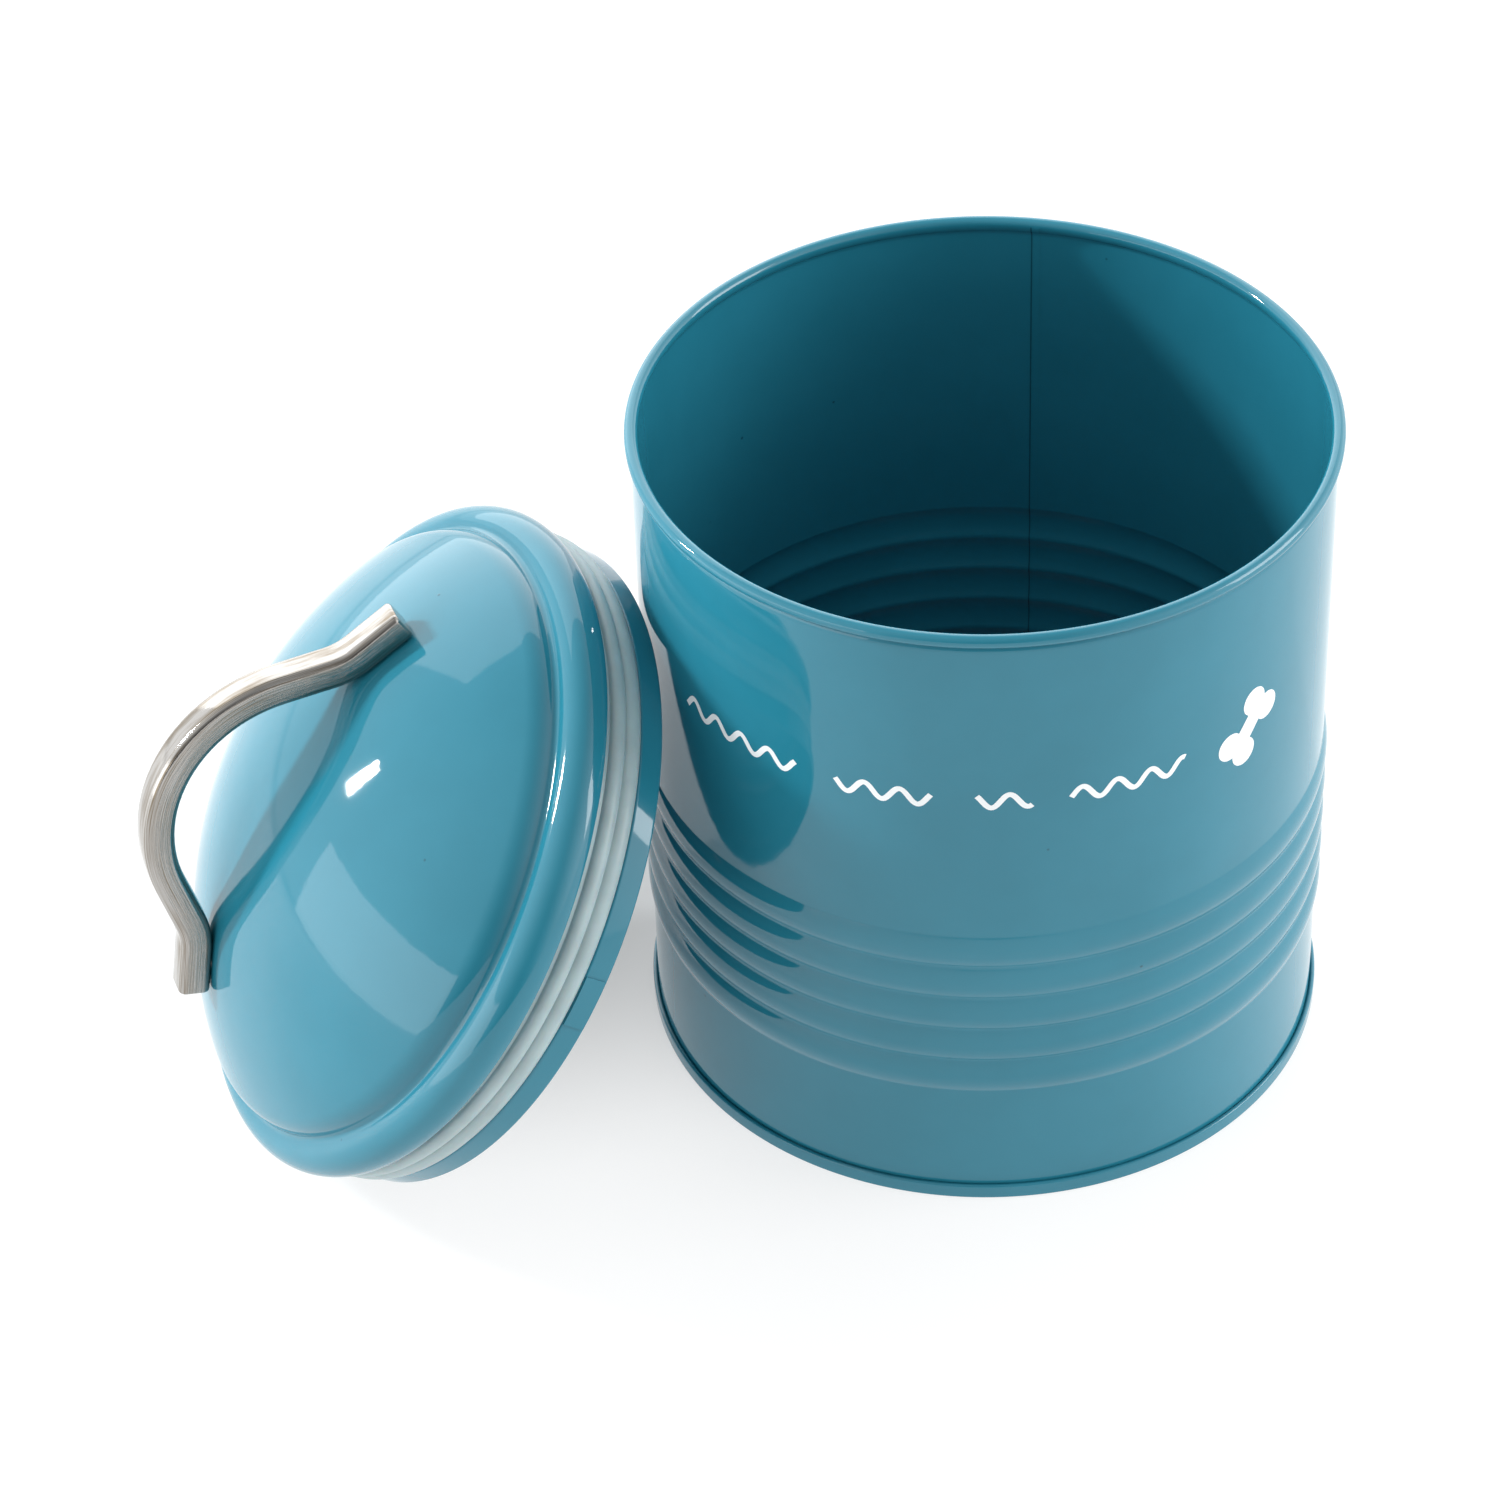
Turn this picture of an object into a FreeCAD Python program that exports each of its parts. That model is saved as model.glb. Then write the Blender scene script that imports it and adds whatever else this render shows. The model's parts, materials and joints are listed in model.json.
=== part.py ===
"""Pet food bin: a round seamed steel tin with its sealing lid lifted off and leaned against it.

Millimetres, +Z up. The origin is on the tin's axis, in the plane that it stands on.
The lid is drawn upright in a frame of its own, with its edge plane at z = 0, and then
laid in place: its lower rim on the floor and its skirt against the side of the tin.
"""
import FreeCAD, Part
import math
import os

from FreeCAD import Placement, Rotation, Vector

os.makedirs("parts", exist_ok=True)

# ---- sheet metal and the tin ------------------------------------------------------------
SHEET = 0.30                      # painted steel sheet
WALL_RADIUS = 65.0                # outside of the plain wall
TIN_HEIGHT = 136.0
RIM_RADIUS = 66.0                 # outside of the rolled rim
CURL_RADIUS = 1.25                # outside radius of the rolled rim's tube
CURL_TURN = 270.0
NECK_BEND = 2.0

BEAD_COUNT = 5
BEAD_PITCH = 7.8
BEAD_DEPTH = 0.8
BEAD_VALLEY_RADIUS = 1.2
BEADS_START = 27.2                # height of the lowest valley

# ---- double seam that joins the wall to the base ----------------------------------------
SEAM_FILM = 0.02                  # lining compound between the folded layers
SEAM_HEIGHT = 3.2
HOOK_SHORT = 0.5                  # room above the wall's hook for the compound ring
SEAM_FOOT_BEND = 0.35             # corners of the seam's flat foot
PANEL_HEIGHT = 3.4
PANEL_BEND = 1.0
PANEL_RING_RADIUS = 50.0          # raised stiffening ring in the base panel
PANEL_RING_BEND = 2.5
PANEL_RING_TURN = 25.0

# ---- lid dome ---------------------------------------------------------------------------
DOME_HEIGHT = 33.4                # crown above the lid's edge plane
CROWN_RADIUS = 86.7
SHOULDER_RADIUS = 6.8
SHOULDER_CENTRE = 52.3            # radius of the shoulder arc's centre from the axis
EDGE_BEAD_RADIUS = 4.84           # section radius of the round bead along the lid's edge
EDGE_BEAD_CENTRE = Vector(60.6, 0, 2.2)
VALLEY_RADIUS = 1.3
EDGE_BEAD_END = 117.0             # slope where the bead turns under, degrees
EDGE_BEND = 0.5
HEM_INNER_RADIUS = 61.95
CLEARANCE = 0.05                  # between neighbouring pieces of the lid

# ---- skirt and seal that plug the mouth -------------------------------------------------
SKIRT_RADIUS = 62.95
SKIRT_BOTTOM = -13.8
SKIRT_BEND = 0.4
SKIRT_HEM_BEND = 0.45
SKIRT_HEM_HEIGHT = 3.0
CHANNEL_RADIUS = 61.35            # outside of the skirt's channel, where the seal sits
FLANGE_RADIUS = 63.6
SEAL_TOP = -0.4
SEAL_BOTTOM = -8.8
SEAL_BAND_RADIUS = 62.9           # plain band above the ribs
SEAL_BAND_HEIGHT = 1.6
SEAL_GROOVE_RADIUS = 63.1
SEAL_RIB_RADII = (64.1, 63.8)
SEAL_RIB_HEIGHT = 3.2
SEAL_RIB_GAP = 0.1
SEAL_CHAMFER = 0.2                # clears the bend at the foot of the channel

# ---- handle and its fasteners -----------------------------------------------------------
BAR_WIDTH = 6.6
BAR_THICKNESS = 6.0
BAR_CORNER = 1.3
BAR_END_CORNER = 0.8
ARCH_RADIUS = 29.1                # to the middle of the bar
ARCH_TURN = 50.4                  # half the arch, degrees
HANDLE_TOP = 51.9                 # middle of the bar over the axis
FOOT_BEND = 14.0
FOOT_CONTACT_RADIUS = 36.0        # where the straight foot is tangent to the dome
FOOT_END_RADIUS = 42.7
HANDLE_SPIN = 6.0                 # handle's turn from the line of steepest slope

SCREW_RADIUS = 2.0
SCREW_DEPTH = 4.2                 # thread length inside the foot
SCREW_HEAD_RADIUS = 3.8
SCREW_HEAD_HEIGHT = 2.4
SCREW_HEAD_ROUND = 1.2
RECESS_WIDTH = 1.0
RECESS_LENGTH = 4.2
RECESS_DEPTH = 1.4
DOME_HOLE_RADIUS = 2.3
WASHER_RADIUS = 4.5
WASHER_HOLE_RADIUS = 2.2
WASHER_THICKNESS = 0.8
WASHER_GAP = 0.15                 # the flat washer bears on the curved sheet at its rim
OVERRUN = 1.0                     # how far a cutting or joining body runs past a face

# ---- how the lid leans ------------------------------------------------------------------
LEAN = 55.44                      # lid's axis from the vertical
LEAN_AZIMUTH = 198.31             # way the lid's dome faces, from +X towards +Y
LID_X = -107.95                   # centre of the lid's edge plane
LID_Y = -31.03

AXIS = Vector(0, 0, 1)
ORIGIN = Vector(0, 0, 0)


def point(radius, height):
    return Vector(radius, 0, height)


def bent_strip(start, heading, moves, thickness=SHEET):
    """Section of a folded sheet in the XZ plane.

    The middle line starts at `start` and runs at `heading` degrees from +X. A move is
    ("line", length) or ("bend", radius, turn), where a positive turn is to the left.
    """
    half = thickness / 2
    left = []
    right = []
    spot = start
    angle = heading

    def to_left(degrees):
        rad = math.radians(degrees)
        return Vector(-math.sin(rad), 0, math.cos(rad))

    for move in moves:
        if move[0] == "line":
            rad = math.radians(angle)
            end = spot + Vector(math.cos(rad), 0, math.sin(rad)) * move[1]
            side = to_left(angle) * half
            left.append(Part.LineSegment(spot + side, end + side).toShape())
            right.append(Part.LineSegment(end - side, spot - side).toShape())
        else:
            radius, turn = move[1], move[2]
            sign = math.copysign(1, turn)
            centre = spot + to_left(angle) * sign * radius
            spokes = [to_left(angle + turn * share) * -sign for share in (0, 0.5, 1)]
            near = [centre + spoke * (radius - sign * half) for spoke in spokes]
            far = [centre + spoke * (radius + sign * half) for spoke in spokes]
            left.append(Part.Arc(*near).toShape())
            right.append(Part.Arc(*reversed(far)).toShape())
            end = centre + spokes[2] * radius
            angle += turn
        spot = end

    def ends(edge):
        return edge.valueAt(edge.FirstParameter), edge.valueAt(edge.LastParameter)

    right.reverse()
    tail = Part.LineSegment(ends(left[-1])[1], ends(right[0])[0]).toShape()
    head = Part.LineSegment(ends(right[-1])[1], ends(left[0])[0]).toShape()
    return Part.Face(Part.Wire(left + [tail] + right + [head]))


def turned(face):
    """Solid of revolution of a section about the Z axis."""
    return face.revolve(ORIGIN, AXIS, 360)


# ---- the double seam's layers, worked out once ------------------------------------------
LAYER = SHEET + SEAM_FILM
WALL_MIDDLE = WALL_RADIUS - SHEET / 2
SEAM_FOLD_HEIGHT = 2 * LAYER + SHEET / 2      # centre of the folds above the floor
SEAM_TOP_FOLD = SEAM_HEIGHT - LAYER - SHEET / 2
HOOK_TOP = SEAM_TOP_FOLD - HOOK_SHORT

# ---- the lid's crown and the stack under a handle screw ---------------------------------
CROWN_CENTRE = point(0, DOME_HEIGHT - CROWN_RADIUS)
HEAD_TOP = -CLEARANCE - SHEET - WASHER_GAP - WASHER_THICKNESS


def bin_wall():
    """Rolled wall: hook of the double seam, beads, neck and the rolled rim."""
    curl_middle = CURL_RADIUS - SHEET / 2
    curl_height = TIN_HEIGHT - CURL_RADIUS
    neck_radius = RIM_RADIUS - CURL_RADIUS - curl_middle
    neck_turn = math.degrees(math.acos(1 - (WALL_MIDDLE - neck_radius) / (2 * NECK_BEND)))
    neck_height = 2 * NECK_BEND * math.sin(math.radians(neck_turn))

    bead_turn = math.degrees(2 * math.atan(2 * BEAD_DEPTH / BEAD_PITCH))
    bead_radii = BEAD_PITCH / (2 * math.sin(math.radians(bead_turn)))
    valley = BEAD_VALLEY_RADIUS + SHEET / 2
    crest = bead_radii - valley
    beads = [("bend", valley, -bead_turn)]
    for _ in range(BEAD_COUNT - 1):
        beads += [("bend", crest, 2 * bead_turn), ("bend", valley, -2 * bead_turn)]
    beads += [("bend", crest, 2 * bead_turn), ("bend", valley, -bead_turn)]
    beads_end = BEADS_START + BEAD_COUNT * BEAD_PITCH

    moves = [
        ("line", HOOK_TOP - SEAM_FOLD_HEIGHT),
        ("bend", LAYER, -180),
        ("line", BEADS_START - SEAM_FOLD_HEIGHT),
        *beads,
        ("line", curl_height - neck_height - beads_end),
        ("bend", NECK_BEND, neck_turn),
        ("bend", NECK_BEND, -neck_turn),
        ("bend", curl_middle, -CURL_TURN),
    ]
    return turned(bent_strip(point(WALL_MIDDLE + 2 * LAYER, HOOK_TOP), -90, moves))


def bin_base():
    """Recessed end panel whose edge folds round the wall's hook."""
    countersink = WALL_MIDDLE - LAYER
    ring_half = 2 * PANEL_RING_BEND * math.sin(math.radians(PANEL_RING_TURN))
    ring_start = PANEL_RING_RADIUS - ring_half
    foot_side = 2 * LAYER - SEAM_FOOT_BEND
    moves = [
        ("line", ring_start),
        ("bend", PANEL_RING_BEND, PANEL_RING_TURN),
        ("bend", PANEL_RING_BEND, -2 * PANEL_RING_TURN),
        ("bend", PANEL_RING_BEND, PANEL_RING_TURN),
        ("line", countersink - PANEL_BEND - ring_start - 2 * ring_half),
        ("bend", PANEL_BEND, -90),
        ("line", PANEL_HEIGHT - PANEL_BEND - SEAM_FOLD_HEIGHT),
        ("line", foot_side),
        ("bend", SEAM_FOOT_BEND, 90),
        ("line", 2 * foot_side),
        ("bend", SEAM_FOOT_BEND, 90),
        ("line", foot_side),
        ("line", SEAM_TOP_FOLD - SEAM_FOLD_HEIGHT),
        ("bend", LAYER, 180),
        ("line", SEAM_TOP_FOLD - SEAM_FOLD_HEIGHT),
    ]
    return turned(bent_strip(point(0, PANEL_HEIGHT), 0, moves))


def base_seam_compound():
    """Ring of sealing compound that fills the seam above the wall's hook."""
    low = Vector(WALL_MIDDLE + 2 * LAYER - SHEET / 2, 0, HOOK_TOP)
    ring = Part.makePlane(SHEET, HOOK_SHORT, low, Vector(0, -1, 0), Vector(1, 0, 0))
    return turned(ring)


def lid_dome():
    """Pressed dome with its round edge bead, turned in under the skirt's flange."""
    half = SHEET / 2
    centre_rise = math.sqrt((CROWN_RADIUS - SHOULDER_RADIUS) ** 2 - SHOULDER_CENTRE**2)
    crown_end = math.degrees(math.atan2(SHOULDER_CENTRE, centre_rise))
    shoulder = CROWN_CENTRE + point(SHOULDER_CENTRE, centre_rise)

    gap = EDGE_BEAD_CENTRE - shoulder
    to_shoulder = SHOULDER_RADIUS + VALLEY_RADIUS
    to_bead = EDGE_BEAD_RADIUS + VALLEY_RADIUS
    along = (to_shoulder**2 - to_bead**2 + gap.Length**2) / (2 * gap.Length)
    across = math.sqrt(to_shoulder**2 - along**2)
    aim = gap / gap.Length
    valley = shoulder + aim * along + Vector(-aim.z, 0, aim.x) * across
    shoulder_end = math.degrees(math.atan2(valley.x - shoulder.x, valley.z - shoulder.z))
    rise = valley - EDGE_BEAD_CENTRE
    bead_start = math.degrees(math.atan2(rise.x, rise.z))

    end_slope = math.radians(EDGE_BEAD_END)
    bead_middle = EDGE_BEAD_RADIUS - half
    bead_end_radius = EDGE_BEAD_CENTRE.x + (bead_middle - EDGE_BEND) * math.sin(end_slope)
    moves = [
        ("bend", CROWN_RADIUS - half, -crown_end),
        ("bend", SHOULDER_RADIUS - half, crown_end - shoulder_end),
        ("bend", VALLEY_RADIUS + half, shoulder_end - bead_start),
        ("bend", bead_middle, bead_start - EDGE_BEAD_END),
        ("bend", EDGE_BEND, EDGE_BEAD_END - 180),
        ("line", bead_end_radius - HEM_INNER_RADIUS),
    ]
    dome = turned(bent_strip(point(0, DOME_HEIGHT - half), 0, moves))
    for seat in screw_seats():
        dome = dome.cut(on_seat(seat, DOME_HOLE_RADIUS, -BAR_THICKNESS, 0))
    return dome


def hem_top():
    """Height of the upper face of the dome's turned-in hem."""
    end_slope = math.radians(EDGE_BEAD_END)
    bead_middle = EDGE_BEAD_RADIUS - SHEET / 2
    turn_centre = EDGE_BEAD_CENTRE.z + (bead_middle - EDGE_BEND) * math.cos(end_slope)
    return turn_centre - EDGE_BEND + SHEET / 2


def lid_skirt():
    """Rolled ring that plugs the mouth: hemmed rim, seal channel and top flange."""
    middle = SKIRT_RADIUS - SHEET / 2
    hem_height = SKIRT_BOTTOM + SKIRT_HEM_BEND + SHEET / 2
    lip_height = SEAL_BOTTOM - CLEARANCE - SHEET / 2
    flange_height = hem_top() + CLEARANCE + SHEET / 2
    channel = CHANNEL_RADIUS - SHEET / 2
    moves = [
        ("line", SKIRT_HEM_HEIGHT),
        ("bend", SKIRT_HEM_BEND, 180),
        ("line", lip_height - SKIRT_BEND - hem_height),
        ("bend", SKIRT_BEND, 90),
        ("line", middle - channel - 2 * SKIRT_BEND),
        ("bend", SKIRT_BEND, -90),
        ("line", flange_height - lip_height - 2 * SKIRT_BEND),
        ("bend", SKIRT_BEND, -90),
        ("line", FLANGE_RADIUS - channel - SKIRT_BEND),
    ]
    start = point(middle - 2 * SKIRT_HEM_BEND, hem_height + SKIRT_HEM_HEIGHT)
    return turned(bent_strip(start, -90, moves))


def lid_seal():
    """Soft ring in the skirt's channel, with two rounded ribs that grip the mouth."""
    inner = CHANNEL_RADIUS + CLEARANCE
    edges = []

    def straight(a, b):
        edges.append(Part.LineSegment(a, b).toShape())
        return b

    foot = point(inner + SEAL_CHAMFER, SEAL_BOTTOM)
    spot = straight(foot, point(inner, SEAL_BOTTOM + SEAL_CHAMFER))
    spot = straight(spot, point(inner, SEAL_TOP))
    spot = straight(spot, point(SEAL_BAND_RADIUS, SEAL_TOP))
    spot = straight(spot, point(SEAL_BAND_RADIUS, SEAL_TOP - SEAL_BAND_HEIGHT))
    for rib_radius in SEAL_RIB_RADII:
        top = point(SEAL_GROOVE_RADIUS, spot.z - SEAL_RIB_GAP)
        spot = straight(spot, top)
        middle = point(rib_radius, top.z - SEAL_RIB_HEIGHT / 2)
        low = point(SEAL_GROOVE_RADIUS, top.z - SEAL_RIB_HEIGHT)
        edges.append(Part.Arc(spot, middle, low).toShape())
        spot = low
    spot = straight(spot, point(SEAL_BAND_RADIUS, SEAL_BOTTOM))
    straight(spot, foot)
    return turned(Part.Face(Part.Wire(edges)))


def foot_slope():
    """Slope of the dome under the handle's feet, in radians."""
    return math.asin(FOOT_CONTACT_RADIUS / CROWN_RADIUS)


def screw_seats():
    """Point on each foot's underside where it touches the dome, and its outward axis."""
    slope = foot_slope()
    seats = []
    for side in (-1, 1):
        axis = Vector(side * math.sin(slope), 0, math.cos(slope))
        seats.append((CROWN_CENTRE + axis * (CROWN_RADIUS + CLEARANCE), axis))
    return seats


def on_seat(seat, radius, low, high):
    """Cylinder on a seat's axis between two heights above the foot's underside."""
    spot, axis = seat
    return Part.makeCylinder(radius, high - low, spot + axis * low, axis)


def handle_path():
    """Leg length of the bar's middle line, and the points where one foot starts and ends."""
    arch = math.radians(ARCH_TURN)
    slope = foot_slope()
    foot_normal = point(math.sin(slope), math.cos(slope))
    foot_along = point(math.cos(slope), -math.sin(slope))
    arch_end = point(ARCH_RADIUS * math.sin(arch), HANDLE_TOP - ARCH_RADIUS * (1 - math.cos(arch)))
    bend = point(math.sin(arch) - math.sin(slope), math.cos(arch) - math.cos(slope)) * FOOT_BEND
    height = (arch_end + bend - CROWN_CENTRE).dot(foot_normal)
    seated = CROWN_RADIUS + CLEARANCE + BAR_THICKNESS / 2
    leg = (height - seated) / math.sin(arch - slope)
    foot_start = arch_end + bend + point(math.cos(arch), -math.sin(arch)) * leg
    foot_end = foot_start + foot_along * ((FOOT_END_RADIUS - foot_start.x) / foot_along.x)
    return leg, foot_start, foot_end


def lid_handle():
    """Arched square bar with two straight feet, each with a blind screw hole."""
    slope = math.degrees(foot_slope())
    leg, foot_start, foot_end = handle_path()
    foot = ("line", (foot_end - foot_start).Length)
    elbow = ("bend", FOOT_BEND, ARCH_TURN - slope)
    straight = ("line", leg)
    arch = ("bend", ARCH_RADIUS, -2 * ARCH_TURN)
    moves = [foot, elbow, straight, arch, straight, elbow, foot]
    side = bent_strip(point(-foot_end.x, foot_end.z), slope, moves, BAR_THICKNESS)
    side.translate(Vector(0, BAR_WIDTH / 2, 0))
    bar = side.extrude(Vector(0, -BAR_WIDTH, 0))

    def in_end_face(edge):
        reach = (foot_end - foot_start).normalize()
        spots = [Vector(abs(v.Point.x), 0, v.Point.z) for v in edge.Vertexes]
        return all(abs((spot - foot_end).dot(reach)) < CLEARANCE for spot in spots)

    def runs_across(edge):
        spots = [v.Point for v in edge.Vertexes]
        return abs(spots[0].y - spots[1].y) > CLEARANCE

    long_edges = [e for e in bar.Edges if not in_end_face(e) and not runs_across(e)]
    bar = bar.makeFillet(BAR_CORNER, long_edges)
    bar = bar.makeFillet(BAR_END_CORNER, [e for e in bar.Edges if in_end_face(e)])
    for seat in screw_seats():
        bar = bar.cut(on_seat(seat, SCREW_RADIUS + CLEARANCE, -OVERRUN, SCREW_DEPTH + CLEARANCE))
    return bar


def handle_washers():
    """Flat washers under the dome, one for each screw."""
    washers = []
    for seat in screw_seats():
        disc = on_seat(seat, WASHER_RADIUS, HEAD_TOP, HEAD_TOP + WASHER_THICKNESS)
        hole = on_seat(seat, WASHER_HOLE_RADIUS, HEAD_TOP - OVERRUN, 0)
        washers.append(disc.cut(hole))
    return Part.makeCompound(washers)


def handle_screws():
    """Pan-head screws with a cross recess, up through the dome into the handle's feet."""
    screws = []
    for seat in screw_seats():
        spot, axis = seat
        low = HEAD_TOP - SCREW_HEAD_HEIGHT
        head = on_seat(seat, SCREW_HEAD_RADIUS, low, HEAD_TOP)
        face = spot + axis * low
        rim = [e for e in head.Edges if e.CenterOfMass.distanceToPoint(face) < CLEARANCE]
        head = head.makeFillet(SCREW_HEAD_ROUND, rim)
        screw = head.fuse(on_seat(seat, SCREW_RADIUS, HEAD_TOP - OVERRUN, SCREW_DEPTH))
        turn = Placement(face, Rotation(AXIS, axis))
        for length, width in ((RECESS_LENGTH, RECESS_WIDTH), (RECESS_WIDTH, RECESS_LENGTH)):
            corner = Vector(-length / 2, -width / 2, -RECESS_DEPTH)
            slot = Part.makeBox(length, width, 2 * RECESS_DEPTH, corner)
            slot.Placement = turn * slot.Placement
            screw = screw.cut(slot)
        screws.append(screw)
    return Part.makeCompound(screws)


def lid_placement():
    """Lid's place: leaned over, with the hem of its skirt resting on the floor."""
    lean = math.radians(LEAN)
    rim_middle = SKIRT_RADIUS - SHEET / 2 - SKIRT_HEM_BEND
    rim_section = SKIRT_HEM_BEND + SHEET / 2
    rim_height = SKIRT_BOTTOM + rim_section
    lift = rim_middle * math.sin(lean) - rim_height * math.cos(lean) + rim_section
    turn = Rotation(AXIS, LEAN_AZIMUTH)
    turn = turn * Rotation(Vector(0, 1, 0), LEAN)
    turn = turn * Rotation(AXIS, HANDLE_SPIN)
    return Placement(Vector(LID_X, LID_Y, lift), turn)


def main():
    tin = {
        "bin_wall": bin_wall(),
        "bin_base": bin_base(),
        "base_seam_compound": base_seam_compound(),
    }
    lid = {
        "lid_dome": lid_dome(),
        "lid_skirt": lid_skirt(),
        "lid_seal": lid_seal(),
        "lid_handle": lid_handle(),
        "handle_screws": handle_screws(),
        "handle_washers": handle_washers(),
    }
    place = lid_placement()
    for name, shape in tin.items():
        shape.exportStep(f"parts/{name}.step")
    for name, shape in lid.items():
        shape.Placement = place * shape.Placement
        shape.exportStep(f"parts/{name}.step")


main()
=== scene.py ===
import json
import math
from functools import partial

import bmesh
import bpy
import numpy as np
from mathutils import Matrix, Vector


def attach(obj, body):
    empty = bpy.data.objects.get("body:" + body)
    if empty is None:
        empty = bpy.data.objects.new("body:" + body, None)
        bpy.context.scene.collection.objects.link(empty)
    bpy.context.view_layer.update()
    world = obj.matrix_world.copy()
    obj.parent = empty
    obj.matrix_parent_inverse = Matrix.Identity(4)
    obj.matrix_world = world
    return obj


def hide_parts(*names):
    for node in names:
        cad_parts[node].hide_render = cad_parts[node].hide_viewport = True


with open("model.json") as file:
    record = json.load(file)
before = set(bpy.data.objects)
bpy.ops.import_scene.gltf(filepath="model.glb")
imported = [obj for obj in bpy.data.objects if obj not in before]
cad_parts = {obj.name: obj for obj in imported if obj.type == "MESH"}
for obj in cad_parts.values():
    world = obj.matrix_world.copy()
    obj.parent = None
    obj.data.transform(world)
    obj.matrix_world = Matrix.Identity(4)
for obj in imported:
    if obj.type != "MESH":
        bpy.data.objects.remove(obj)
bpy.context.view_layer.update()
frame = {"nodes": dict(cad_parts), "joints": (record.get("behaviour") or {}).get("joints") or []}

# Sizes are in millimetres until a mesh is made. They are those of the CAD part.
MM = 0.001
SHEET = 0.30                      # thickness of the painted steel
SEGMENTS = 216                    # round a turned piece
ARC_STEP = math.radians(5)        # longest step along a bend, as an angle
ARC_CHORD = 2.0                   # and as a length
SHARP = math.radians(35)          # edges folded by this or more stay sharp
MERGE = 1e-7                      # points this close are made one

# ---- the tin ----------------------------------------------------------------------------
WALL_RADIUS = 65.0
TIN_HEIGHT = 136.0
RIM_RADIUS = 66.0
CURL_RADIUS = 1.25
NECK_BEND = 2.0
BEAD_COUNT = 5
BEAD_PITCH = 7.8
BEAD_DEPTH = 0.8
BEAD_VALLEY_RADIUS = 1.2
BEADS_START = 27.2
CURL_TURN = 270.0
SEAM_HEIGHT = 3.2
SEAM_FOOT_BEND = 0.35
LAYER = 0.32                      # from one layer of the seam to the next
HOOK_SHORT = 0.5                  # how far the hook ends below the fold over it
PANEL_HEIGHT = 3.4
PANEL_BEND = 1.0
PANEL_RING_RADIUS = 50.0
PANEL_RING_BEND = 2.5
PANEL_RING_TURN = 25.0
WALL_MIDDLE = WALL_RADIUS - SHEET / 2
FOLD_HEIGHT = 2 * LAYER + SHEET / 2
TOP_FOLD = SEAM_HEIGHT - LAYER - SHEET / 2
HOOK_TOP = TOP_FOLD - HOOK_SHORT

# ---- the lapped side weld: name, azimuth and width in degrees, height above the sheet -----
WELD_RISE = 0.4                   # its lower end above the base panel
WELD_WELT = ("weld_welt", 81.0, 1.3, 0.07)
WELD_LINE = ("weld_line", 81.8, 0.22, 0.09)

# ---- the printed ornament on the wall ---------------------------------------------------
INK_LIFT = 0.03                   # how far the ink stands out from the wall, and into it
INK_COLUMNS = 6
PRINT_HEIGHT = 98.5
PRINT_WAVES = ((-146, -121), (-114, -98), (-91, -82), (-76, -56))     # azimuths, degrees
PRINT_STEP = 0.25                 # degrees
PRINT_SWING = 1.5
PRINT_WAVELENGTH = 6.6
PRINT_LINE = 1.1
BONE_AZIMUTH = -42.5
BONE_TILT = math.radians(50)
BONE_LENGTH = 9.5
BONE_SHAFT = 3.8
BONE_LOBE = 2.9
BONE_SPREAD = 0.8                 # lobe centres from the shaft's middle, in lobe radii
SHAFT_POINTS = 9
LOBE_POINTS = 25
LOBE_MARGIN = 2                   # degrees left off each end of a lobe's half circle

# ---- the lid ----------------------------------------------------------------------------
DOME_HEIGHT = 33.4
CROWN_RADIUS = 86.7
SHOULDER_RADIUS = 6.8
SHOULDER_CENTRE = 52.3
EDGE_BEAD_RADIUS = 4.84
EDGE_BEAD_CENTRE = np.array([60.6, 2.2])
VALLEY_RADIUS = 1.3
EDGE_BEAD_END = 117.0
EDGE_BEND = 0.5
HEM_INNER_RADIUS = 61.95
CLEARANCE = 0.05
SKIRT_RADIUS = 62.95
SKIRT_BOTTOM = -13.8
SKIRT_BEND = 0.4
SKIRT_HEM_BEND = 0.45
SKIRT_HEM_HEIGHT = 3.0
CHANNEL_RADIUS = 61.35
FLANGE_RADIUS = 63.6
LAP_HEIGHT = 4.2
LAP_PROUD = 0.12
LAP_SPAN = (94, 103)              # degrees round the lid
SEAL_TOP = -0.4
SEAL_BOTTOM = -8.8
SEAL_BAND_RADIUS = 62.9
SEAL_BAND_HEIGHT = 1.6
SEAL_GROOVE_RADIUS = 63.1
SEAL_RIB_RADII = (64.1, 63.8)
SEAL_RIB_HEIGHT = 3.2
SEAL_RIB_GAP = 0.1
SEAL_RIB_POINTS = 17
SEAL_CHAMFER = 0.2
HANDLE_SPIN = 6.0

# ---- the handle -------------------------------------------------------------------------
BAR_WIDTH = 6.6
BAR_THICKNESS = 6.0
BAR_CORNER = 1.3
BAR_END_CORNER = 0.8
ARCH_RADIUS = 29.1
ARCH_TURN = 50.4
HANDLE_TOP = 51.9
FOOT_BEND = 14.0
FOOT_CONTACT_RADIUS = 36.0
FOOT_END_RADIUS = 42.7
CORNER_POINTS = 7
END_RINGS = 6

# ---- the lid's place: its axis is the joint's, and its crown is the dome's furthest point --
lid_axis = Vector(frame["joints"][0]["axis"]).normalized()
dome_points = [v.co for v in frame["nodes"]["lid_dome"].data.vertices]
crown = max(dome_points, key=lambda spot: spot.dot(lid_axis))
lean = math.acos(lid_axis.z)
facing = math.atan2(lid_axis.y, lid_axis.x)
LID_PLACE = (
    Matrix.Translation(crown - lid_axis * DOME_HEIGHT * MM)
    @ Matrix.Rotation(facing, 4, "Z")
    @ Matrix.Rotation(lean, 4, "Y")
    @ Matrix.Rotation(math.radians(HANDLE_SPIN), 4, "Z")
)
TIN_PLACE = Matrix.Identity(4)


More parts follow.
